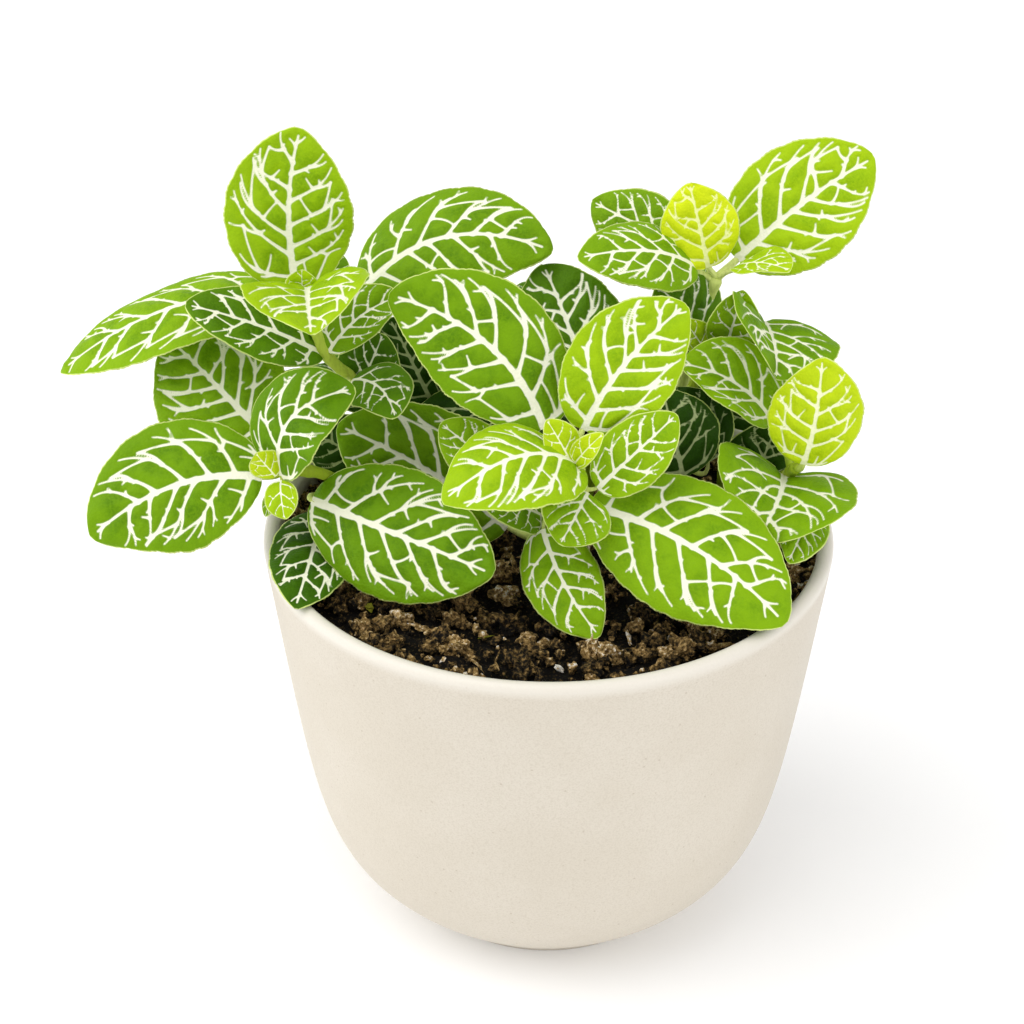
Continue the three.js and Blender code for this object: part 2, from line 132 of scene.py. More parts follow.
def make_mottling():
    """Soft uneven patches of a given size in metres: a mask from 0 to 1, for the glaze and the leaves."""
    group = bpy.data.node_groups.new("mottling", "ShaderNodeTree")
    size = group.interface.new_socket("Size", in_out="INPUT", socket_type="NodeSocketFloat")
    size.default_value = 0.01
    group.interface.new_socket("Mask", in_out="OUTPUT", socket_type="NodeSocketFloat")
    given = group.nodes.new("NodeGroupInput")
    result = group.nodes.new("NodeGroupOutput")
    scale = add_node(group, "ShaderNodeMath", {0: 1.0, 1: given.outputs["Size"]}, operation="DIVIDE")
    clouds = {"Vector": position(group), "Scale": scale.outputs[0], "Detail": 3.0, "Roughness": 0.6}
    cloud = add_node(group, "ShaderNodeTexNoise", clouds)
    spread = {"Value": cloud.outputs["Fac"], "From Min": 0.36, "From Max": 0.64}
    mask = add_node(group, "ShaderNodeMapRange", spread, interpolation_type="SMOOTHSTEP")
    group.links.new(mask.outputs[0], result.inputs["Mask"])
    return group


mottling = make_mottling()


def mottled(tree, size):
    patches = add_node(tree, "ShaderNodeGroup", node_tree=mottling)
    patches.inputs["Size"].default_value = size
    return patches.outputs["Mask"]


def set_bump(tree, shader, height, distance, strength=1.0):
    relief = {"Height": height, "Distance": distance, "Strength": strength}
    bump = add_node(tree, "ShaderNodeBump", relief)
    tree.links.new(bump.outputs["Normal"], shader.inputs["Normal"])


def make_glaze():
    """Cream in soft patches with fine specks and a few dots, and a painted highlight that pales the lip.
    Soil stain and painted shade darken the inside.
    """
    material, tree, shader = new_material("cream glaze", 0.5, 0.4)
    place = position(tree)
    cream = blend_colours(tree, mottled(tree, CREAM_PATCH), CREAM, CREAM_STAIN)
    grains = add_node(tree, "ShaderNodeTexNoise", {"Vector": place, "Scale": SPECK_SCALE, "Detail": 2.0})
    speck = graded(tree, grains.outputs["Fac"], 0.42, 0.8, high=0.6)
    cream = blend_colours(tree, speck, cream, CREAM_SPECK)
    cells = add_node(tree, "ShaderNodeTexVoronoi", {"Vector": place, "Scale": DOT_SCALE})
    dot = graded(tree, cells.outputs["Distance"], 0.085, 0.04, high=0.45)
    cream = blend_colours(tree, dot, cream, CREAM_DOT)
    height = add_node(tree, "ShaderNodeSeparateXYZ", {"Vector": place}).outputs["Z"]
    # Painted highlight: the lip is painted paler.
    cream = blend_colours(tree, graded(tree, height, *LIP_HIGHLIGHT_BAND, high=0.75), cream, CREAM_LIP_HIGHLIGHT)
    level = add_node(tree, "ShaderNodeVectorMath", {0: place, 1: (1, 1, 0)}, operation="MULTIPLY").outputs[0]
    reach = add_node(tree, "ShaderNodeVectorMath", {0: level}, operation="LENGTH").outputs["Value"]
    # Soil stain and painted shade: the inner wall is darkened in patches just above the soil.
    stain_and_shade = product(tree, graded(tree, reach, *STAIN_AND_SHADE_REACH), graded(tree, height, *STAIN_AND_SHADE_TOP))
    stain_and_shade = product(tree, stain_and_shade, graded(tree, height, *STAIN_AND_SHADE_FOOT))
    stain_and_shade = product(tree, stain_and_shade, graded(tree, mottled(tree, STAIN_AND_SHADE_PATCH), 0.0, 1.0, 0.5, 0.95))
    cream = blend_colours(tree, stain_and_shade, cream, SOIL_STAIN_AND_SHADE)
    tree.links.new(cream, shader.inputs["Base Color"])
    tree.links.new(graded(tree, height, *SMOOTH_LIP, 0.55, 0.33), shader.inputs["Roughness"])
    pits = add_node(tree, "ShaderNodeTexNoise", {"Vector": place, "Scale": PIT_SCALE, "Detail": 4.0})
    set_bump(tree, shader, pits.outputs["Fac"], 0.00012, 0.5)
    return material


def belly_point(share):
    """A point of the pot's outer wall, as radius and height: a cubic Bezier curve from foot to rim."""
    rest = 1 - share
    weights = [rest**3, 3 * rest * rest * share, 3 * rest * share * share, share**3]
    return sum((corner * weight for corner, weight in zip(BELLY, weights)), Vector((0, 0)))


def wall_radius(height):
    """The outer wall's radius at a height: the curve's share is found by halving."""
    low, high = 0.0, 1.0
    for _ in range(30):
        middle = (low + high) / 2
        if belly_point(middle).y < height:
            low = middle
        else:
            high = middle
    return belly_point(low).x


def cavity_radius(height):
    """The wall thins from the body's thickness to the lip's near the top."""
    share = min(max((height - POT_HEIGHT + LIP_FADE) / (LIP_FADE - LIP_RADIUS), 0), 1)
    share = share * share * (3 - 2 * share)
    return wall_radius(height) - BODY_WALL - (LIP_WALL - BODY_WALL) * share


def spun(profile, steps):
    """A solid turned round Z from a profile of radius and height in mm that starts and ends on the axis."""
    form = bmesh.new()
    corners = [form.verts.new((radius * MM, 0, height * MM)) for radius, height in profile]
    edges = [form.edges.new(pair) for pair in zip(corners, corners[1:])]
    bmesh.ops.spin(form, geom=corners + edges, cent=(0, 0, 0), axis=(0, 0, 1), dvec=(0, 0, 0),
                   angle=2 * math.pi, steps=steps, use_merge=True)
    bmesh.ops.remove_doubles(form, verts=form.verts, dist=1e-6)
    bmesh.ops.recalc_face_normals(form, faces=form.faces)
    return form


def new_object(name, data):
    thing = bpy.data.objects.new(name, data)
    bpy.context.collection.objects.link(thing)
    return thing


def finished_piece(name, form, materials, node, smooth=True):
    """Puts a finished form into the scene, in place of its CAD node."""
    for face in form.faces:
        face.smooth = smooth
    mesh = bpy.data.meshes.new(name)
    form.to_mesh(mesh)
    form.free()
    for material in materials:
        mesh.materials.append(material)
    piece = new_object(name, mesh)
    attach(piece, "root")
    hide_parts(node)


def pot_profile():
    profile = [(0, 0), (FOOT_RADIUS - 0.8, 0), (FOOT_RADIUS - 0.25, 0.2)]
    profile += [tuple(belly_point(step / WALL_STEPS)) for step in range(WALL_STEPS + 1)]
    for step in range(1, LIP_STEPS):
        turn = math.pi * step / LIP_STEPS
        radius = RIM_RADIUS - LIP_RADIUS + LIP_RADIUS * math.cos(turn)
        profile.append((radius, POT_HEIGHT - LIP_RADIUS + LIP_RADIUS * math.sin(turn)))
    top = POT_HEIGHT - LIP_RADIUS
    for step in range(WALL_STEPS // 2 + 1):
        height = top + (POT_FLOOR - top) * step * 2 / WALL_STEPS
        profile.append((cavity_radius(height), height))
    return profile + [(0, POT_FLOOR)]


finished_piece("pot_glazed", spun(pot_profile(), POT_STEPS), [make_glaze()], "pot")


# Soil: moist potting mix, pressed level just under the rim. It is a plug of fine dark peat with loose
# crumbs, bark chips and a few whitish grains lying on it, and every stem stands in it.
SOIL_TOP = 94
SOIL_BUMP = 0.9
SOIL_RINGS = 44
SOIL_STEPS = 132
SOIL_GAP = 0.3
BED_LEVELS = 24
BED_EDGE = 1.5
BED_ROUGHNESS = 1.1
BED_SINK = 1.4
# the bed's near-black tint: dark peat with painted shade for the gaps between the lumps
BED_TINT_AND_SHADE = 0.05
CLODS = 310
CRUMBS = 780
CHIPS = 140
CRUSTS = 620
LUMP_SHAPES = 6
CLOD_SIZES = (1.2, 3.0)
CRUMB_SIZES = (0.45, 1.3)
MOSSY_EVERY = 97
STEM_FEET = {
    "stem_upper_left": (-31, 15), "stem_lower_left": (-42, -1), "stem_front": (2, -9),
    "stem_upper_middle": (-20, 22), "stem_middle": (9, 11), "stem_upper_right": (29, 25),
    "stem_mid_right": (25, 9), "stem_right": (45, 3), "stem_back_left": (-32, 31),
    "stem_back_middle": (2, 31), "stem_back_right": (42, 28),
}
STEM_ROOM = 2.6
PEAT = (0.003, 0.002, 0.001, 1)
UMBER = (0.076, 0.048, 0.016, 1)
BARK = (0.27, 0.165, 0.055, 1)
STRAW = (0.60, 0.42, 0.19, 1)
GRIT = (0.88, 0.83, 0.74, 1)
MOSS = (0.26, 0.26, 0.02, 1)
GRAIN_SCALE = 1200.0
SOIL_LAYERS = ("tint_and_shading", "moss")


def soil_height(x, y):
    broad = math.sin(x * 0.19 + 1.2) * math.cos(y * 0.17 - 0.6)
    fine = math.sin(x * 0.52 - y * 0.31) * math.sin(y * 0.47 + x * 0.22 + 2.1)
    return SOIL_TOP + SOIL_BUMP * (0.55 * broad + 0.45 * fine)


def attribute(tree, name):
    return add_node(tree, "ShaderNodeAttribute", attribute_name=name).outputs["Fac"]


def make_earth():
    """Crumbly all over: dark pits between brown grains, and the lumps' tint from near black to straw, which
    carries painted highlight and shade.
    """
    material, tree, shader = new_material("potting soil", 0.9, 0.2)
    rough = {"Vector": position(tree), "Scale": GRAIN_SCALE, "Detail": 4.0, "Roughness": 0.62}
    grain = add_node(tree, "ShaderNodeTexNoise", rough)
    uneven = graded(tree, grain.outputs["Fac"], 0.36, 0.66, -0.32, 0.3)
    shade = add_node(tree, "ShaderNodeMath", {0: attribute(tree, "tint_and_shading"), 1: uneven}, operation="ADD")
    stops = [(0.12, PEAT), (0.36, UMBER), (0.62, BARK), (0.84, STRAW), (1.0, GRIT)]
    colour = colour_ramp(tree, shade.outputs[0], stops)
    colour = blend_colours(tree, attribute(tree, "moss"), colour, MOSS)
    tree.links.new(colour, shader.inputs["Base Color"])
    set_bump(tree, shader, grain.outputs["Fac"], 0.0009)
    return material


def add_layers(form, names):
    return [form.verts.layers.float.new(name) for name in names]


def make_soil_bed():
    """The plug of peat: it fills the cavity up to just under its top, which is rough and gently uneven."""
    foot, edge = POT_FLOOR + SOIL_GAP, SOIL_TOP - BED_EDGE
    profile = [(0, foot)]
    levels = [foot + (edge - foot) * step / BED_LEVELS for step in range(BED_LEVELS + 1)]
    profile += [(cavity_radius(level) - SOIL_GAP, level) for level in levels]
    span = cavity_radius(edge) - SOIL_GAP - 0.8
    profile += [(span * (1 - ring / SOIL_RINGS), SOIL_TOP) for ring in range(SOIL_RINGS + 1)]
    form = spun(profile, SOIL_STEPS)
    tint_and_shading, _ = add_layers(form, SOIL_LAYERS)
    for corner in form.verts:
        x, y, z = (value / MM for value in corner.co)
        if z > SOIL_TOP - 1:
            rough = noise.noise(Vector((x, y, 0)) * 0.4) + 0.6 * noise.noise(Vector((x, y, 9)) * 1.1)
            corner.co.z = (soil_height(x, y) + BED_ROUGHNESS * rough - BED_SINK) * MM
        # Dark peat and painted shade: the bed is tinted near black so the gaps between the lumps look dark.
        corner[tint_and_shading] = BED_TINT_AND_SHADE
    return form


def make_lumps(numbers, subdivisions):
    """A few jagged shapes, each a ball broken up by noise."""
    shapes = []
    for number in numbers:
        lump = bmesh.new()
        bmesh.ops.create_icosphere(lump, subdivisions=subdivisions, radius=1)
        away = Vector((number * 7, 0, 0))
        for corner in lump.verts:
            broad = noise.noise(corner.co * 1.4 + away)
            fine = noise.noise(corner.co * 3.7 + away)
            corner.co *= 1 + 0.75 * broad + 0.6 * fine
        shapes.append(bpy.data.meshes.new("lump"))
        lump.to_mesh(shapes[-1])
        lump.free()
    return shapes


def new_litter():
    form = bmesh.new()
    add_layers(form, SOIL_LAYERS)
    return form


def add_lump(form, shape, centre, stretch, tilt, colour, mossy):
    """One lump with its middle at a place in mm. Its tint is painted paler on the upper side and darker on
    the lower, as painted highlight and shade.
    """
    tint_and_shading, moss = (form.verts.layers.float[name] for name in SOIL_LAYERS)
    first = len(form.verts)
    form.from_mesh(shape)
    form.verts.ensure_lookup_table()
    for corner in form.verts[first:]:
        spot = Vector(a * b for a, b in zip(corner.co, stretch))
        spot.rotate(tilt)
        # Painted highlight and shade: the tint rises with height in the lump.
        corner[tint_and_shading] = colour + 0.24 * spot.z / max(stretch) + 0.3 * noise.noise(spot * 0.9 + centre)
        corner[moss] = mossy
        corner.co = (centre + spot) * MM


def strew(form, shapes, count, sizes, flatness, length, tints, draw):
    """Strews lumps over the bed, each turned, sized, tinted and set by a seeded draw."""
    for number in range(count):
        size = sizes[0] + (sizes[1] - sizes[0]) * draw.random() ** 1.6
        reach = (cavity_radius(SOIL_TOP) - 0.4 - size) * math.sqrt(draw.random())
        turn = 2 * math.pi * draw.random()
        x, y = reach * math.cos(turn), reach * math.sin(turn)
        long, broad = size * length * draw.uniform(0.8, 1.2), size * draw.uniform(0.7, 1)
        stretch = Vector((long, broad, size * flatness))
        tilt = Euler((draw.uniform(-0.9, 0.9), draw.uniform(-0.7, 0.7), draw.uniform(0, 6.3)))
        sunk = draw.uniform(-0.45, 0.6) * size * flatness
        colour = tints[0] + (tints[1] - tints[0]) * draw.random() ** 1.7
        if any(math.hypot(x - foot[0], y - foot[1]) < STEM_ROOM + size for foot in STEM_FEET.values()):
            continue
        centre = Vector((x, y, soil_height(x, y) + sunk))
        mossy = 1 if number % MOSSY_EVERY == 5 else 0
        add_lump(form, shapes[number % len(shapes)], centre, stretch, tilt, colour, mossy)


def make_crumbs(fine, coarse):
    """Clods on the bed, crumbs and bark chips between them, and a few whitish grains."""
    draw = random.Random(4)
    form = new_litter()
    strew(form, fine, CLODS, CLOD_SIZES, 0.8, 1.15, (0.12, 0.66), draw)
    strew(form, coarse, CRUMBS, CRUMB_SIZES, 0.8, 1.1, (0.08, 0.7), draw)
    strew(form, coarse, CHIPS, (0.5, 1.0), 0.25, 2.8, (0.4, 0.9), draw)
    strew(form, coarse, CHIPS // 3, (0.35, 0.9), 0.6, 1.4, (0.95, 1.2), draw)
    return form


def make_crust(coarse):
    """Crumbs that cling in patches to the inner wall, up to just under the lip."""
    draw = random.Random(9)
    form = new_litter()
    for number in range(CRUSTS):
        turn = 2 * math.pi * draw.random()
        patch = noise.noise(Vector((math.cos(turn), math.sin(turn), 0)) * 3.1)
        level = SOIL_TOP - 0.6 + (2.6 + 3.4 * patch) * draw.random() ** 1.5
        size = draw.uniform(0.4, 1.25)
        reach = cavity_radius(level) - 0.35 * size
        centre = Vector((reach * math.cos(turn), reach * math.sin(turn), level))
        tilt = Euler((draw.uniform(0, 6.3), draw.uniform(0, 6.3), turn))
        stretch = Vector((size, size, size * 0.7))
        add_lump(form, coarse[number % len(coarse)], centre, stretch, tilt, draw.uniform(0.15, 0.6), 0)
    return form


earth = make_earth()
fine_lumps = make_lumps(range(LUMP_SHAPES), 3)
coarse_lumps = make_lumps(range(LUMP_SHAPES, 2 * LUMP_SHAPES), 2)
finished_piece("soil_bed", make_soil_bed(), [earth], "soil")
finished_piece("soil_crumbs", make_crumbs(fine_lumps, coarse_lumps), [earth], "soil", smooth=False)
finished_piece("soil_crust", make_crust(coarse_lumps), [earth], "soil", smooth=False)


# Leafy stems: each is one grown piece. A green stalk carries oval leaves on short petioles. A leaf is a thin
# blade with a toothed margin. Its broad cream midrib sends out side veins that fork or are joined by links,
# and the cells between them bulge. Old leaves are deep green and the young ones lime. Leaves deep inside
# are given age 0, which paints shade into them as darker greens and dull veins.
STALK_RADIUS = 1.6
STALK_SIDES = 12
STALK_STEPS = 60
STALK_FOOT = 84
STALK_FREE = 98
PETIOLE_RADIUS = 0.85
PETIOLE_SIDES = 8
PETIOLE_END = 0.16
PETIOLE_BEND = 0.35
LONG_PETIOLE = 4
CURVE_STEPS = 16
BLADE = 0.45
BLADE_END = 0.004
BLADE_SPACING = 0.37
BACK_SPACING = 0.6
BELLY_SHIFT = 0.9
BASE_ROUND = 0.5
TIP_TAPER = 0.14
RIPPLE = 0.45
RIPPLE_ALONG = 11
RIPPLE_ACROSS = 2
RIPPLE_WIDTH = 20
TOOTH = 0.1
TOOTH_BEATS = (2.1, 5.3)
SCALLOP = 0.34
SCALLOP_BEAT = 0.55
RIGHT_ANGLE = 1.57
RIB_END = 0.95
RIB_WIDTHS = (1.7, 0.42)
SIDE_WIDTHS = (0.8, 0.24)
ARM_WIDTHS = (0.46, 0.26)
CROWN_WIDTHS = (0.46, 0.34)
LINK_WIDTHS = (0.4, 0.34)
THORN_WIDTHS = (0.36, 0.2)
THORN_ROOM = 0.8
VEIN_STEP = 0.7
VEIN_MIN = 0.145
WEB = 0.15
QUILT = 0.9
QUILT_SPREAD = 1.2
RIB_RISE = 0.5
LEAF_PATCH = 7 * MM
NET_SCALE = 520.0
SPECKLE_SCALE = 1500.0
PEBBLE_SCALE = 1700.0
FIBRE_SCALES = (1600.0, 1600.0, 260.0)
# vein colour at age 0: painted shade for leaves deep inside
PAINTED_SHADE_VEIN = (0.40, 0.46, 0.22, 1)
CREAM_VEIN = (0.88, 0.875, 0.70, 1)
YOUNG_VEIN = (0.90, 0.915, 0.60, 1)
BUD_VEIN = (0.89, 0.92, 0.42, 1)
VEIN_COLOURS = [(0.0, PAINTED_SHADE_VEIN), (0.02, CREAM_VEIN), (0.7, CREAM_VEIN), (0.86, YOUNG_VEIN), (1.0, BUD_VEIN)]
# the stops at age 0, here and in LIGHT_GREENS, are painted shade: darker than at 0.02, for leaves deep
# inside
DEEP_GREENS = [
    (0.0, (0.010, 0.034, 0.001, 1)), (0.02, (0.020, 0.066, 0.001, 1)), (0.25, (0.055, 0.150, 0.001, 1)),
    (0.5, (0.128, 0.275, 0.002, 1)), (0.75, (0.255, 0.430, 0.003, 1)), (1.0, (0.490, 0.620, 0.005, 1)),
]
LIGHT_GREENS = [
    (0.0, (0.022, 0.068, 0.002, 1)), (0.02, (0.047, 0.130, 0.002, 1)), (0.25, (0.112, 0.250, 0.003, 1)),
    (0.5, (0.230, 0.415, 0.004, 1)), (0.75, (0.390, 0.570, 0.006, 1)), (1.0, (0.640, 0.750, 0.012, 1)),
]
STALK_GREENS = [
    (0.0, (0.070, 0.100, 0.008, 1)), (0.3, (0.22, 0.32, 0.012, 1)), (0.6, (0.44, 0.58, 0.03, 1)),
    (1.0, (0.78, 0.84, 0.32, 1)),
]
# painted light: the pale line where light shines through the thin margin
MARGIN_GLOW = (0.66, 0.76, 0.24, 1)
UNDER_GREEN = (0.20, 0.34, 0.07, 1)
FIBRE_GREEN = (0.17, 0.20, 0.02, 1)
LEAF_LAYERS = ("age", "rim", "vein")


def make_blade_material(name, under):
    """Veins are cream and the cells between them green, lime when young, and darker at age 0 as painted
    shade. The margin is a thin pale line of painted light through the edge.
    """
    material, tree, shader = new_material(name, 0.5, 0.08)
    place = position(tree)
    age, rim, vein = (attribute(tree, layer) for layer in LEAF_LAYERS)
    deep = colour_ramp(tree, age, DEEP_GREENS)
    light = colour_ramp(tree, age, LIGHT_GREENS)
    cloud = blend_colours(tree, mottled(tree, LEAF_PATCH), deep, light)
    # The green pales towards the margin: partly the leaf's own tone, partly painted light shining through
    # the edge.
    green = blend_colours(tree, graded(tree, rim, 6.5, 0.3, high=0.8), cloud, light)
    green = blend_colours(tree, graded(tree, vein, 1.5, 0.1, high=0.35), green, light)
    meshes = {"Vector": place, "Scale": NET_SCALE}
    net = add_node(tree, "ShaderNodeTexVoronoi", meshes, feature="DISTANCE_TO_EDGE")
    thread = graded(tree, net.outputs["Distance"], 0.09, 0.0, high=0.35)
    green = blend_colours(tree, thread, green, light)
    fine = add_node(tree, "ShaderNodeTexNoise", {"Vector": place, "Scale": SPECKLE_SCALE, "Detail": 3.0})
    speckle = graded(tree, fine.outputs["Fac"], 0.4, 0.68, high=0.5)
    green = blend_colours(tree, speckle, green, light)
    if under:
        green = blend_colours(tree, 0.5, green, UNDER_GREEN)
    pale = colour_ramp(tree, age, VEIN_COLOURS)
    green = blend_colours(tree, graded(tree, vein, 0.18, 0.02, high=0.42), green, pale)
    colour = blend_colours(tree, graded(tree, vein, 0.05, -0.05), green, pale)
    # Painted light: a thin pale line where light shines through the margin.
    colour = blend_colours(tree, graded(tree, rim, 0.34, 0.16, high=0.95), colour, MARGIN_GLOW)
    tree.links.new(colour, shader.inputs["Base Color"])
    pebble = add_node(tree, "ShaderNodeTexVoronoi", {"Vector": place, "Scale": PEBBLE_SCALE})
    set_bump(tree, shader, pebble.outputs["Distance"], -0.0001)
    return material


def make_stalk_material():
    """Green with fine lengthwise fibres, paler towards the young end."""
    material, tree, shader = new_material("green stalk", 0.55, 0.15)
    green = colour_ramp(tree, attribute(tree, "age"), STALK_GREENS)
    streaks = add_node(tree, "ShaderNodeMapping", {"Vector": position(tree), "Scale": FIBRE_SCALES})
    grain = add_node(tree, "ShaderNodeTexNoise", {"Vector": streaks.outputs[0], "Scale": 1.0, "Detail": 3.0})
    fibre = graded(tree, grain.outputs["Fac"], 0.4, 0.75, high=0.3)
    green = blend_colours(tree, fibre, green, FIBRE_GREEN)
    tree.links.new(green, shader.inputs["Base Color"])
    set_bump(tree, shader, grain.outputs["Fac"], 0.0002)
    return material


leaf_materials = [
    make_blade_material("leaf face", False),
    make_blade_material("leaf underside", True),
    make_stalk_material(),
]
FACE, UNDERSIDE, STALK = range(3)

# A leaf, in mm and degrees: where its petiole springs from the stalk, as a share of the stalk's length; the
# base and the tip of its blade; its width; the way its face looks; how far it arches and bows sideways, as
# shares of its length; the angle its halves fold up by; how its margins cup; and how young it is. An age of
# 0
# paints shade into a leaf deep inside: darker greens and dull veins.
Leaf = namedtuple("Leaf", "start base tip width face arch bow fold cup age")


def half_width(share, width):
    """Half of a blade's width at a share of its length: round at the base, blunt at the tip."""
    share = min(max(share, 1e-4), 1 - 1e-4)
    return width / 2 * math.sin(math.pi * share**BELLY_SHIFT) ** (BASE_ROUND + TIP_TAPER * share)


def blade_surface(leaf):
    """A function that lays a flat point of the blade, in mm along and across, on its bent surface."""
    base, run = Vector(leaf.base), Vector(leaf.tip) - Vector(leaf.base)
    along = run.normalized()
    up = Vector(leaf.face).normalized()
    up = (up - along * up.dot(along)).normalized()
    side = up.cross(along)
    length, width, fold = run.length, leaf.width, math.radians(leaf.fold)
    ripple_size = RIPPLE * min(1, width / RIPPLE_WIDTH)

    def place(x, y, height=0.0):
        share = x / length
        swell = 4 * share * (1 - share) * length
        slope = 4 * (1 - 2 * share)
        ahead = (along + up * (leaf.arch * slope) + side * (leaf.bow * slope)).normalized()
        lift = (up - ahead * up.dot(ahead)).normalized()
        across = y / max(half_width(share, width), 0.1)
        wave = math.sin(RIPPLE_ALONG * share + RIPPLE_ACROSS * across + width)
        ripple = ripple_size * across * across * wave
        rise = abs(y) * math.sin(fold) + leaf.cup * y * y * 2 / width + ripple + height
        spot = base + run * share + up * (leaf.arch * swell) + side * (leaf.bow * swell)
        return (spot + lift.cross(ahead) * (y * math.cos(fold)) + lift * rise) * MM

    return place, length


def bezier(corners, share):
    """A point of the curve that is drawn towards its flat corners, which are complex numbers."""
    while len(corners) > 1:
        corners = [first + (second - first) * share for first, second in zip(corners, corners[1:])]
    return corners[0]


def heading(angle):
    """A step of 1 mm in a flat direction, as a complex number."""
    return complex(math.cos(angle), math.sin(angle))


def stands_free(thorn, veins, room):
    """Whether the tip of a thorn keeps clear of every vein but the one that it springs from."""
    root, tip = complex(*thorn[0][:2]), complex(*thorn[-1][:2])
    near_root, near_tip = [], []
    for vein in veins:
        if vein is not thorn:
            spots = [complex(along, across) for along, across, _ in vein]
            near_root.append(min(abs(spot - root) for spot in spots))
            near_tip.append(min(abs(spot - tip) for spot in spots))
    near_tip.pop(near_root.index(min(near_root)))
    return min(near_tip) > room


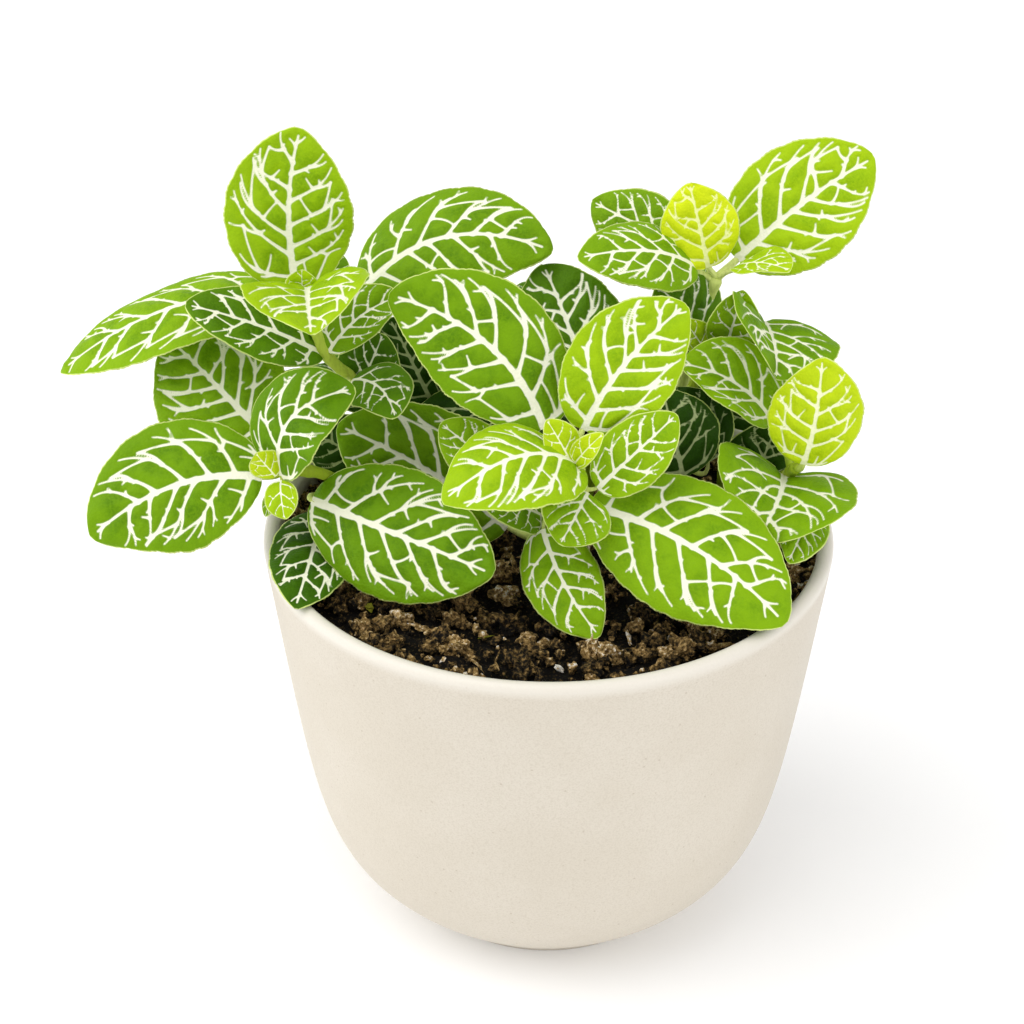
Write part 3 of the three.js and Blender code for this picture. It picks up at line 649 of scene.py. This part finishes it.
def grow_veins(leaf, length, draw):
    """The network of one blade, laid out flat in mm: midrib, side veins that lean towards the tip, branches
    that leave them towards the margin, links and thorns. A vein is a list of samples: along, across and half
    of its width."""
    width = leaf.width
    size = min(1.08, math.sqrt(length * width) / 33)
    veins, thorns = [], []

    def lay(corners, root, end, part=1.0, flare=0.0):
        """Adds a vein along a part of a curve, from its root's width to its end's, with a ragged outline."""
        travel = part * sum(abs(second - first) for first, second in zip(corners, corners[1:]))
        count = max(2, round(travel / VEIN_STEP))
        phase = draw.uniform(0, 99)
        samples = []
        for step in range(count + 1):
            share = step / count
            spot = bezier(corners, part * share)
            ragged = 1 + 0.3 * noise.noise(Vector((phase, step * VEIN_STEP * 0.7, 0)))
            taper = end + (root - end) * (1 - share) ** 1.3
            broad = taper * ragged + flare * math.exp(-share * travel / 1.2)
            samples.append((spot.real, spot.imag, max(broad * size / 2, VEIN_MIN * min(1, size))))
        veins.append(samples)

    def spike(spot, angle, reach, root=THORN_WIDTHS[0]):
        """A thorn: a short tapering vein that stays inside the margin."""
        tip = spot + reach * heading(angle)
        room = 0.93 * half_width(tip.real / length, width)
        if tip.real < 0.975 * length and abs(tip.imag) < room:
            aside = heading(angle + math.copysign(RIGHT_ANGLE, draw.random() - 0.5))
            lay([spot, (spot + tip) / 2 + 0.12 * reach * aside, tip], root, THORN_WIDTHS[1])
            thorns.append(veins[-1])

    def margin_point(along, inset):
        along = min(along, 0.955 * length)
        return complex(along, inset * half_width(along / length, width))

    def branch(course, share, target, side, root, end):
        """A vein from one share of a side vein to a point near the margin, curving towards the tip."""
        foot = bezier(course, share)
        goal = complex(target.real, side * target.imag)
        span = abs(goal - foot)
        wobble = 0.08 * span * complex(draw.uniform(-1, 1), draw.uniform(-1, 1))
        aside = heading(cmath.phase(goal - foot) + side * RIGHT_ANGLE)
        bend = (foot + goal) / 2 + 0.24 * span * aside + wobble
        lay([foot, bend, goal], root, end, flare=0.35)
        return [foot, bend, goal]

    sway = draw.uniform(0, 6)
    stations = (0, 0.3, 0.6, RIB_END)
    rib = [complex(length * share, 0.012 * width * math.sin(sway + 9 * share)) for share in stations]
    lay(rib, *RIB_WIDTHS)
    for side in (-1, 1):
        spike(bezier(rib, draw.uniform(0.92, 0.97)), side * draw.uniform(0.5, 0.8), 0.06 * length, 0.5)
    count = 3 if width < 10 else min(6, round(3.1 + length / 14))
    for side in (-1, 1):
        shift = draw.uniform(0.3, 0.6) if side > 0 else 0.0
        spread, web_share = draw.uniform(46, 60), draw.uniform(0.3, 0.8)
        courses = []
        for number in range(count):
            share = 0.02 + 0.84 * (number + shift + (draw.uniform(-0.16, 0.16) if number else 0)) / count
            lean = math.radians(spread + (14 if number == 0 else 0) - 20 * share + draw.uniform(-3, 3))
            reach, along = 0.3 * width, share * length
            for _ in range(6):
                along = min(share * length + 0.9 * reach / math.tan(lean), RIB_END * length)
                reach = half_width(along / length, width)
            end = complex(along, side * reach * draw.uniform(0.82, 0.9))
            root = bezier(rib, share / RIB_END)
            span = abs(end - root)
            wobble = [0.05 * span * complex(draw.uniform(-1, 1), draw.uniform(-1, 1)) for _ in range(2)]
            early = root + 0.36 * span * heading(side * (lean + 0.2)) + wobble[0]
            late = end - 0.36 * span * heading(side * (lean - 0.5)) + wobble[1]
            courses.append([root, early, late, end])
        last_end = 0.04 * length
        for number, course in enumerate(courses):
            lay(course, SIDE_WIDTHS[0] - 0.2 * number / count, SIDE_WIDTHS[1], flare=0.42)
            end_angle = cmath.phase(course[3] - bezier(course, 0.9))
            if draw.random() < 0.6:
                turn = draw.choice((-1, 1)) * draw.uniform(0.6, 1.0)
                spike(bezier(course, draw.uniform(0.8, 0.9)), end_angle + turn, 0.06 * width)
            for middle in (0.32, 0.66):
                part = middle + draw.uniform(-0.1, 0.1)
                direction = cmath.phase(bezier(course, part + 0.05) - bezier(course, part))
                turn = draw.choice((-1, 1)) * draw.uniform(0.7, 1.2)
                spike(bezier(course, part), direction + turn, draw.uniform(0.5, 1.1) * size, 0.38)
            gap = course[3].real - last_end
            if number > 0 and gap > 3 and draw.random() < web_share:
                far = bezier(courses[number - 1], draw.uniform(0.56, 0.68))
                crown = margin_point(last_end + gap * draw.uniform(0.35, 0.55), draw.uniform(0.66, 0.76))
                arm = branch(course, draw.uniform(0.42, 0.52), crown, side, *CROWN_WIDTHS)
                bulge = (far + arm[2]) / 2 + 0.04 * abs(far - arm[2]) * heading(side * RIGHT_ANGLE)
                lay([far, bulge, arm[2]], *LINK_WIDTHS, flare=0.25)
                spike(arm[2], side * draw.uniform(1.0, 1.5), 0.11 * width)
            elif gap > 2.6:
                forks = (0.34, 0.66) if gap > 7.5 else (0.5,)
                for fork in forks:
                    along = last_end + gap * (fork + draw.uniform(-0.06, 0.06))
                    target = margin_point(along, draw.uniform(0.74, 0.86))
                    leave = 0.22 + 0.5 * fork + draw.uniform(-0.05, 0.05)
                    arm = branch(course, leave, target, side, *ARM_WIDTHS)
                    angle = cmath.phase(arm[2] - arm[0])
                    turn = draw.choice((-1, 1)) * draw.uniform(0.6, 1.0)
                    spike(bezier(arm, 0.6), angle + turn, 0.045 * width, 0.32)
            last_end = course[3].real
        for first, second in zip(courses, courses[1:]):
            if draw.random() < 0.55 and width > 12:
                inner = draw.uniform(0.26, 0.42)
                near, far = bezier(first, inner + 0.08), bezier(second, inner - 0.1)
                reach = draw.choice((0.4, 0.6, 1.0))
                bulge = (near + far) / 2 + (near - far) * 1j * side * draw.uniform(-0.2, 0.2)
                lay([near, bulge, far], 0.36, 0.25 if reach < 1 else 0.34, reach, flare=0.25)
    crowded = [thorn for thorn in thorns if not stands_free(thorn, veins, THORN_ROOM * size)]
    return [vein for vein in veins if vein not in crowded]


def vein_clearance(veins, along, across, web):
    """How far each flat point lies outside the nearest vein, in mm, rounded in the corners between veins."""
    starts = np.cumsum([0] + [len(vein) - 1 for vein in veins[:-1]])
    first = np.array([sample for vein in veins for sample in vein[:-1]], dtype=np.float32)
    run = np.array([sample for vein in veins for sample in vein[1:]], dtype=np.float32) - first
    right, up = along[:, None] - first[:, 0], across[:, None] - first[:, 1]
    part = (right * run[:, 0] + up * run[:, 1]) / np.maximum(run[:, 0] ** 2 + run[:, 1] ** 2, 1e-6)
    part = np.clip(part, 0, 1)
    gaps = np.hypot(right - part * run[:, 0], up - part * run[:, 1]) - first[:, 2] - part * run[:, 2]
    nearest = np.minimum.reduceat(gaps, starts, axis=1)
    return -web * np.log(np.exp(-nearest / web).sum(axis=1))


def add_tubes(form, tubes, material):
    """Closed tubes, each a list of rings, and each ring its points with their age, rim and vein value. All
    are rolled up from one grid, and the faces between two tubes are taken out."""
    rings = [ring for tube in tubes for ring in tube]
    rows, sides = len(rings), len(rings[0][0])
    strip = bmesh.new()
    bmesh.ops.create_grid(strip, x_segments=rows - 1, y_segments=sides, size=1)
    layers = add_layers(strip, LEAF_LAYERS)
    seams = {sum(len(tube) for tube in tubes[:count]) - 1 for count in range(1, len(tubes))}
    spare = [
        face for face in strip.faces
        if int((face.calc_center_median().x + 1) / 2 * (rows - 1)) in seams
    ]
    bmesh.ops.delete(strip, geom=spare, context="FACES")
    for corner in strip.verts:
        row = round((corner.co.x + 1) / 2 * (rows - 1))
        column = round((corner.co.y + 1) / 2 * sides) % sides
        points, values = rings[row]
        corner.co = points[column]
        for layer, value in zip(layers, values):
            corner[layer] = value
    bmesh.ops.remove_doubles(strip, verts=strip.verts, dist=2e-7)
    bmesh.ops.recalc_face_normals(strip, faces=strip.faces)
    for face in strip.faces:
        face.material_index = material
    join_form(form, strip)


def join_form(form, other):
    """Adds another form's mesh to a form, and frees the other one."""
    mesh = bpy.data.meshes.new("grown")
    other.to_mesh(mesh)
    other.free()
    form.from_mesh(mesh)
    bpy.data.meshes.remove(mesh)


def split_along_veins(face):
    """Splits the squares near a vein along the diagonal that follows it, so that it stays unbroken."""
    vein = face.verts.layers.float["vein"]
    splits = {"FIXED": [], "ALTERNATE": []}
    for square in face.faces:
        gaps = [corner[vein] for corner in square.verts]
        if min(gaps) < 0.3:
            splits["FIXED" if gaps[0] + gaps[2] < gaps[1] + gaps[3] else "ALTERNATE"].append(square)
    for method, squares in splits.items():
        bmesh.ops.triangulate(face, faces=squares, quad_method=method)


def add_blade(form, leaf, draw, spacing):
    """The blade: a fine upper face with bulging cells, and a plain underside that meets it at the margin."""
    place, length = blade_surface(leaf)
    width = leaf.width
    veins = grow_veins(leaf, length, draw)
    size = min(1, width / 26)
    tooth = draw.uniform(0, 9)
    rows = 2 * round(length / spacing / min(1, width / 14) / 2)
    columns = 2 * round(width / spacing / min(1, width / 14) / 2)

    def sheet(coarseness, material):
        """One side of the blade. The coarser one has the same points on its margin as the fine one."""
        face = bmesh.new()
        bmesh.ops.create_grid(face, x_segments=rows // coarseness, y_segments=columns // coarseness, size=1)
        if coarseness > 1:
            margin = [edge for edge in face.edges if edge.is_boundary]
            bmesh.ops.subdivide_edges(face, edges=margin, cuts=coarseness - 1)
        layers = add_layers(face, LEAF_LAYERS)
        flat = []
        for corner in face.verts:
            part, side = (corner.co.x + 1) / 2, corner.co.y
            part = 0.6 * part + 0.2 * (1 - math.cos(math.pi * part))
            share = BLADE_END + (1 - 2 * BLADE_END) * part
            reach = half_width(share, width)
            coarse, fine = (math.sin(share * length * beat + tooth) for beat in TOOTH_BEATS)
            waves = abs(math.sin(share * length * SCALLOP_BEAT + 3 * tooth + side)) - 0.6
            teeth = TOOTH * (abs(coarse) + 0.5 * fine) + SCALLOP * waves
            notch = size * abs(side)**9 * teeth * min(1, reach / 3)
            edge = (1 - side**6) * min(1, share * length / 1.5, (1 - share) * length / 1.5)
            flat.append((share, side * (reach + notch), reach * (1 - abs(side)), edge))
        shares, across, rims, edges = np.array(flat, dtype=np.float32).T
        clear = vein_clearance(veins, shares * length, across, WEB * size) / max(size, 0.3)
        for corner, share, y, rim, edge, gap in zip(face.verts, shares, across, rims, edges, clear):
            x = share * length
            if coarseness > 1:
                height = -BLADE * edge
            else:
                ridge = RIB_RISE * math.exp(-x / 3.5 - (y / 1.1) ** 2)
                height = (QUILT * size * (1 - math.exp(-max(gap, 0) / QUILT_SPREAD)) + ridge) * edge
            corner.co = place(x, y, height)
            for layer, value in zip(layers, (leaf.age, min(rim, (1 - share) * length, 9), min(gap, 3))):
                corner[layer] = value
        if coarseness == 1:
            split_along_veins(face)
        for cell in face.faces:
            cell.material_index = material
        return face

    upper, lower = sheet(1, FACE), sheet(2, UNDERSIDE)
    join_form(upper, lower)
    margin = [corner for corner in upper.verts if corner.is_boundary]
    bmesh.ops.remove_doubles(upper, verts=margin, dist=1e-6)
    bmesh.ops.recalc_face_normals(upper, faces=upper.faces)
    join_form(form, upper)


def smooth_path(points, count):
    """Evenly spaced points of a centripetal Catmull-Rom curve through the given ones, in mm."""
    points = [Vector(point) for point in points]
    points = [points[0] * 2 - points[1]] + points + [points[-1] * 2 - points[-2]]
    dense = []
    for four in zip(points, points[1:], points[2:], points[3:]):
        knots = [0.0]
        for first, second in zip(four, four[1:]):
            knots.append(knots[-1] + max((second - first).length, 1e-6) ** 0.5)
        for step in range(CURVE_STEPS):
            t = knots[1] + (knots[2] - knots[1]) * step / CURVE_STEPS
            level = four
            for order in (1, 2):
                level = [
                    (level[i] * (knots[i + order] - t) + level[i + 1] * (t - knots[i]))
                    / (knots[i + order] - knots[i])
                    for i in range(len(level) - 1)
                ]
            dense.append((level[0] * (knots[2] - t) + level[1] * (t - knots[1])) / (knots[2] - knots[1]))
    dense.append(points[-2])
    travelled = [0.0]
    for first, second in zip(dense, dense[1:]):
        travelled.append(travelled[-1] + (second - first).length)
    even, at = [], 0
    for step in range(count + 1):
        goal = travelled[-1] * step / count
        while at < len(dense) - 2 and travelled[at + 1] < goal:
            at += 1
        share = (goal - travelled[at]) / max(travelled[at + 1] - travelled[at], 1e-6)
        even.append(dense[at].lerp(dense[at + 1], min(share, 1)))
    return even


def round_tube(path, radii, sides, values):
    """The rings of a round tube along a path, closed to a point at both ends."""
    rings = []
    across = Vector((1, 0, 0))
    last = len(path) - 1
    for step, spot in enumerate(path):
        ahead = (path[min(step + 1, last)] - path[max(step - 1, 0)]).normalized()
        across = (across - ahead * across.dot(ahead)).normalized()
        other = ahead.cross(across)
        ring = []
        for side in range(sides):
            turn = 2 * math.pi * side / sides
            ring.append((spot + (across * math.cos(turn) + other * math.sin(turn)) * radii[step]) * MM)
        if step == 0:
            rings.append(([spot * MM] * sides, values[0]))
        rings.append((ring, values[step]))
    rings.append(([path[-1] * MM] * sides, values[last]))
    return rings


def grow_stem(name, path, stalk_age, leaves, spacing=BLADE_SPACING):
    """One leafy stem: its stalk, with a swelling at each pair of leaves, the petioles and the blades."""
    draw = random.Random(name)
    form = bmesh.new()
    add_layers(form, LEAF_LAYERS)
    levels = [STALK_FOOT, (STALK_FOOT + STALK_FREE) / 2, STALK_FREE]
    course = smooth_path([(*STEM_FEET[name], level) for level in levels] + path, STALK_STEPS)
    nodes = [round(STALK_STEPS * item.start) for item in leaves]
    radii = []
    for step in range(STALK_STEPS + 1):
        swell = max(math.exp(-(((step - node) / 1.6) ** 2)) for node in nodes)
        radii.append(STALK_RADIUS * (0.92 - 0.16 * step / STALK_STEPS + 0.2 * swell))
    radii[-1] *= 0.75
    add_tubes(form, [round_tube(course, radii, STALK_SIDES, [(stalk_age, 5, 0)] * len(radii))], STALK)
    petioles = []
    for item, node in zip(leaves, nodes):
        place, length = blade_surface(item)
        root, base = course[node], place(0, 0, -0.55) / MM
        inside = place(PETIOLE_END * length, 0, -0.9) / MM
        reach = (base - root).length
        bend = (base + (base - inside).normalized() * reach * PETIOLE_BEND).lerp(root, 0.25)
        points = [root, bend, base, inside] if reach > LONG_PETIOLE else [root, base, inside]
        count = 14 if reach > LONG_PETIOLE else 8
        broad = PETIOLE_RADIUS * min(1.1, max(0.4, item.width / 24))
        thick = [broad * (1.15 - 0.75 * (step / count) ** 1.5) for step in range(count + 1)]
        ages = [(stalk_age + (1 - stalk_age) * (step / count) ** 0.7, 5, 0) for step in range(count + 1)]
        petioles.append(round_tube(smooth_path(points, count), thick, PETIOLE_SIDES, ages))
    add_tubes(form, petioles, STALK)
    for item in leaves:
        add_blade(form, item, draw, spacing)
    finished_piece(name + "_grown", form, leaf_materials, name)


UP_FRONT = (0, -0.85, 0.52)
UPPER_LEFT_PATH = [(-35, 13, 116), (-44, 9, 132), (-50, 5, 142), (-54, 7, 156)]
LOWER_LEFT_PATH = [(-43, -3, 105), (-46, -5, 113), (-52, -9, 119), (-59, -14, 122)]
grow_stem("stem_upper_left", UPPER_LEFT_PATH, 0.65, [
    Leaf(1.0, (-56, 12, 153.5), (-54, 13, 192), 28.5, (0, -1, 0.15), 0.02, 0.05, 6, -0.1, 0.58),
    Leaf(0.9, (-59, 22, 149), (-111, 15, 131), 26, (0, -0.15, 1), 0.11, 0, -6, -0.1, 0.49),
    Leaf(0.8, (-50, 5, 141), (-80, 4, 154), 17.5, (-0.2, -0.5, 0.85), 0.07, 0, 12, -0.05, 0.19),
    Leaf(1.0, (-53, 4, 158), (-50, -26, 162), 30, (-0.08, -0.1, 1), 0.06, 0, 24, -0.1, 0.66),
    Leaf(0.8, (-49, 4, 142), (-33, 12, 152), 14, (0.1, -0.6, 0.8), 0.05, 0.08, 24, 0, 0.38),
    Leaf(1.0, (-54, 4, 157), (-54, 3, 163), 7.5, (0, -1, 0.2), 0.05, 0, 10, 0, 0.74),
    Leaf(0.98, (-51, 14, 153), (-46, 22, 157), 8, (0, -0.6, 0.8), 0.05, 0, 0, -0.1, 0.3),
    Leaf(0.68, (-44, 4, 135), (-34, -10, 133), 15, (0, -0.5, 0.9), 0.1, 0.14, 8, -0.15, 0.22),
    Leaf(0.62, (-43, 11, 128), (-37, 13, 142), 15, UP_FRONT, 0.1, 0, 8, -0.15, 0.1),
    Leaf(0.25, (-36, 16, 104), (-56, 20, 113), 17.8, UP_FRONT, 0.08, 0, 4, -0.1, 0),
])
grow_stem("stem_lower_left", LOWER_LEFT_PATH, 0.4, [
    Leaf(1.0, (-63, -14, 121), (-100.5, -22, 109.5), 29.5, (-0.1, -0.8, 0.6), 0.06, -0.11, -4, -0.1, 0.34),
    Leaf(1.0, (-59, -15, 121), (-42, -12, 141.5), 22, (-0.5, -0.6, 0.6), 0.26, 0.12, 6, -0.1, 0.27),
    Leaf(1.0, (-60, -16, 122), (-64, -18, 129), 7.5, (0, -1, 0.5), 0, 0, 0, -0.3, 0.86),
    Leaf(1.0, (-59, -16, 121), (-58, -21, 114), 8, (-0.2, -0.8, 0.5), 0.1, 0, 10, -0.1, 0.7),
    Leaf(0.97, (-60, -14, 118), (-63, -15, 111), 3.5, (-0.2, -0.8, 0.5), 0.1, 0, 10, -0.1, 0.45),
    Leaf(0.85, (-64, 2, 122), (-87, 22, 137), 31.5, (-0.1, -0.7, 0.65), 0.04, 0, -4, -0.08, 0.42),
    Leaf(0.5, (-53, -11, 113), (-12, -35, 109), 29.5, UP_FRONT, 0.05, 0, -4, -0.12, 0.3),
    Leaf(0.3, (-51, 4, 101), (-55, -37, 101), 19, (0.06, -0.6, 0.8), 0.04, 0, 2, -0.14, 0.02),
])
grow_stem("stem_front", [(3, -13, 110), (5, -19, 120), (5, -26, 131)], 0.6, [
    Leaf(0.97, (-1, -16, 134), (-35, -6, 161), 28, UP_FRONT, 0.05, -0.13, 6, -0.08, 0.36),
    Leaf(0.97, (6.8, -20, 136), (29, -12, 162), 24, UP_FRONT, 0.05, 0.06, 6, -0.08, 0.63),
    Leaf(1.0, (7, -26, 130), (-23, -42, 131), 26, (-0.2, -0.4, 0.9), 0.26, 0, -6, -0.12, 0.62),
    Leaf(0.9, (10, -26, 125), (27, -22, 141), 15, UP_FRONT, 0.06, 0, 12, -0.05, 0.54),
    Leaf(1.0, (4, -28, 133), (-1, -26, 142), 9, (0.3, -0.8, 0.4), 0.05, 0, 24, 0, 0.8),
    Leaf(1.0, (5, -28, 132), (11, -30, 141), 6, (-0.3, -0.8, 0.5), 0.1, 0, 20, 0, 0.86),
    Leaf(0.88, (8, -26, 124), (2, -38, 118), 16, UP_FRONT, 0.12, 0, 0, -0.12, 0.52),
    Leaf(0.8, (8.5, -24, 119), (50, -46, 103), 31, (0, -0.7, 0.75), 0.06, 0.07, -4, -0.12, 0.45),
    Leaf(0.62, (-1.5, -20, 111), (10.5, -42, 97), 17, (-0.1, -0.7, 0.7), 0.08, -0.05, 4, -0.1, 0.45),
    Leaf(0.6, (-1, -14, 110), (-16, -24, 121), 13, (0, -0.5, 0.8), 0.08, 0, 4, -0.1, 0.34),
    Leaf(0.38, (-9, -5, 102), (-48, 6, 122), 29, UP_FRONT, 0.04, -0.04, 8, -0.06, 0.35),
    Leaf(0.75, (-11, -12, 121), (-24, -8, 131), 13, UP_FRONT, 0.06, 0, 4, -0.05, 0.5),
])
grow_stem("stem_upper_middle", [(-23, 25, 115), (-29, 28, 132), (-36, 27, 144)], 0.3, [
    Leaf(1.0, (-43, 26, 145), (1, 22, 158), 29, (0.05, -0.55, 0.85), 0.16, 0.12, -4, -0.12, 0.37),
    Leaf(0.9, (-30, 34, 136), (-22, 48, 150), 22, (0, 0.8, 0.5), 0.05, 0, 6, -0.1, 0.45),
    Leaf(0.8, (-28, 36, 130), (-18, 66, 120), 27, (0, 0.5, 1), 0.12, 0, -4, -0.12, 0.2),
    Leaf(0.55, (-27, 20, 121), (-36, 21, 142), 17.8, UP_FRONT, 0.06, 0, 4, -0.1, 0),
])
grow_stem("stem_middle", [(10, 9, 112), (10, 5, 126)], 0.3, [
    Leaf(1.0, (10, 2, 131), (-1, 24, 154), 26, (0.1, -0.8, 0.6), 0.05, 0, 8, -0.06, 0.14),
    Leaf(0.7, (6, 10, 118), (-30, 16.5, 120.5), 19, (0, -0.5, 1), 0.1, 0, 0, -0.1, 0),
])
grow_stem("stem_upper_right", [(31, 25, 120), (35, 24, 140), (38, 23, 151)], 0.85, [
    Leaf(1.0, (42.5, 26, 154), (73, 34, 176), 28, UP_FRONT, 0.03, 0.03, 6, -0.08, 0.67),
    Leaf(1.0, (36, 22, 154), (31, 24, 174), 18, (0, -1, 0.2), 0.04, 0, 6, -0.2, 1),
    Leaf(0.98, (33, 22, 154), (6, 10, 162), 19, (-0.1, -0.5, 0.8), 0.16, 0, 0, -0.2, 0.43),
    Leaf(1.0, (42, 20, 155), (53, 10, 159), 14, (0.2, -0.3, 1), 0.1, 0, 12, -0.1, 0.74),
    Leaf(0.98, (32, 30, 154), (10, 44, 160), 17, UP_FRONT, 0.06, 0, 4, -0.1, 0.4),
    Leaf(0.8, (36, 20, 137), (24, 18, 151.5), 22, (0, -0.7, 0.7), 0.08, 0, 4, -0.1, 0.2),
])
grow_stem("stem_mid_right", [(27, 9, 112), (33, 12, 130), (37, 15, 138)], 0.55, [
    Leaf(1.0, (40, 16, 137), (43, 13, 153), 13, (0, -1, 0.2), 0.05, 0, 20, 0, 0.52),
    Leaf(1.0, (35, 15, 137), (30, 12, 146), 8, (0.3, -0.8, 0.3), 0.05, 0, 20, 0, 0.76),
    Leaf(0.95, (48, 17, 143), (49.5, -7, 141), 31, (0.5, -0.2, 0.9), 0.08, 0, 27, -0.1, 0.36),
    Leaf(0.7, (48, 13, 117), (45, 17, 133), 17, (-0.2, -0.8, 0.5), 0.05, 0, 6, -0.1, 0),
    Leaf(0.5, (30, -6, 116), (25, 2, 134), 21, UP_FRONT, 0.05, 0, 6, -0.08, 0),
    Leaf(0.5, (36, 0, 116), (28, 6, 132), 19, UP_FRONT, 0.05, 0, 6, -0.08, 0),
])
grow_stem("stem_right", [(48, 1, 105), (53.5, 0.5, 112), (55, -7, 119)], 0.5, [
    Leaf(0.85, (50, 0, 126), (29, 6, 138), 21, (0.06, -0.44, 1.06), 0.1, -0.08, 22, -0.04, 0.5),
    Leaf(1.0, (56, -11, 122), (58, -13, 150), 21, (0, -1, 0.2), 0.03, -0.03, 6, -0.15, 0.86),
    Leaf(1.0, (53, -1, 113.3), (44.8, -28.5, 112.6), 36, (0.23, -0.35, 1.2), 0.1, 0.03, 26, -0.07, 0.43),
    Leaf(0.75, (59, -8, 111), (52, -28, 107), 12, UP_FRONT, 0.08, 0, 4, -0.1, 0.5),
    Leaf(0.4, (46, 8, 103), (52, 8, 122), 17.8, UP_FRONT, 0.06, 0, 4, -0.1, 0),
])
grow_stem("stem_back_left", [(-34, 32, 112), (-37, 32, 122)], 0.3, [
    Leaf(1.0, (-36, 34, 124), (-50, 62, 112), 24, (-0.2, 0.4, 1), 0.12, 0, -4, -0.12, 0.15),
    Leaf(0.95, (-42, 28, 120), (-76, 40, 108), 26, (-0.4, 0.1, 1), 0.12, 0, -4, -0.12, 0.12),
    Leaf(0.7, (-40, 30, 112), (-48, 54, 102), 22, (0, 0.5, 1), 0.12, 0, -4, -0.12, 0.05),
], BACK_SPACING)
grow_stem("stem_back_middle", [(3, 32, 112), (3, 34, 126)], 0.3, [
    Leaf(1.0, (6, 34, 128), (14, 66, 116), 28, (0, 0.5, 1), 0.12, 0, -4, -0.12, 0.15),
    Leaf(0.95, (-2, 34, 124), (-14, 60, 108), 26, (-0.1, 0.5, 1), 0.12, 0, -4, -0.12, 0.1),
    Leaf(1.0, (4, 38, 130), (-4, 56, 133), 20, (0, 0.5, 1), 0.08, 0, 6, -0.1, 0.2),
    Leaf(0.6, (2, 30, 112), (6, 56, 102), 22, (0, 0.5, 1), 0.1, 0, -4, -0.12, 0.05),
], BACK_SPACING)
grow_stem("stem_back_right", [(43, 30, 112), (41, 33, 126)], 0.3, [
    Leaf(1.0, (38, 36, 128), (42, 62, 117), 24, (0, 0.5, 1), 0.12, 0, -4, -0.12, 0.2),
    Leaf(0.95, (46, 28, 126), (70, 44, 112), 26, (0.4, 0.3, 1), 0.12, 0, -4, -0.12, 0.15),
    Leaf(1.0, (36, 34, 138), (26, 52, 148), 22, (0, 0.7, 0.8), 0.08, 0, 6, -0.1, 0.4),
    Leaf(0.7, (38, 28, 116), (36, 58, 104), 25, (0, 0.5, 1), 0.12, 0, -4, -0.12, 0.05),
    Leaf(0.6, (50, 18, 116), (70, 26, 106), 24, (0.5, 0.2, 1), 0.12, 0, -4, -0.12, 0.1),
], BACK_SPACING)


# Studio: a plain pale floor, a large soft light high up at the left, two lower and weaker ones from the left
# side and the front right, and a pale sky all round. The camera looks down at the photograph's angle.
VIEW_RISE = math.radians(31.6)
VIEW_RANGE = 0.6
VIEW_TARGET = Vector((-0.0083, 0, 0.103))
VIEW_LENS = 92.52
FLOOR_REACH = 8.0
FLOOR_WHITE = (0.93, 0.93, 0.935, 1)
FLOOR_GLOW = 0.09
LIGHT_TARGET = Vector((0, 0, 0.1))
SKY_GLOW = 0.72

floor_form = bmesh.new()
bmesh.ops.create_grid(floor_form, x_segments=1, y_segments=1, size=FLOOR_REACH)
floor_mesh = bpy.data.meshes.new("floor")
floor_form.to_mesh(floor_mesh)
floor_form.free()
floor_paint, _, floor_shader = new_material("floor paint", 0.8, 0.1)
floor_shader.inputs["Base Color"].default_value = FLOOR_WHITE
floor_shader.inputs["Emission Color"].default_value = FLOOR_WHITE
floor_shader.inputs["Emission Strength"].default_value = FLOOR_GLOW
floor_mesh.materials.append(floor_paint)
floor = new_object("floor", floor_mesh)


def soft_light(name, place, size, power, colour):
    lamp = bpy.data.lights.new(name, "AREA")
    lamp.shape = "DISK"
    lamp.size = size
    lamp.energy = power
    lamp.color = colour
    light = new_object(name, lamp)
    light.location = place
    light.rotation_euler = (LIGHT_TARGET - Vector(place)).to_track_quat("-Z", "Y").to_euler()


soft_light("key light", (-0.65, -0.3, 1.5), 1.9, 13.5, (1.0, 0.995, 0.98))
soft_light("side light", (-1.3, 0.0, 0.5), 1.5, 7.2, (1.0, 1.0, 0.995))
soft_light("fill light", (1.1, -0.9, 0.8), 1.6, 7.8, (1.0, 0.998, 0.995))

sky = bpy.data.worlds.new("sky")
sky.use_nodes = True
glow = sky.node_tree.nodes["Background"]
glow.inputs["Color"].default_value = (1, 1, 1, 1)
glow.inputs["Strength"].default_value = SKY_GLOW
bpy.context.scene.world = sky
bpy.context.scene.view_settings.view_transform = "Standard"

lens = bpy.data.cameras.new("camera")
lens.lens = VIEW_LENS
camera = new_object("camera", lens)
camera.location = VIEW_TARGET + VIEW_RANGE * Vector((0, -math.cos(VIEW_RISE), math.sin(VIEW_RISE)))
camera.rotation_euler = (math.pi / 2 - VIEW_RISE, 0, 0)
bpy.context.scene.camera = camera
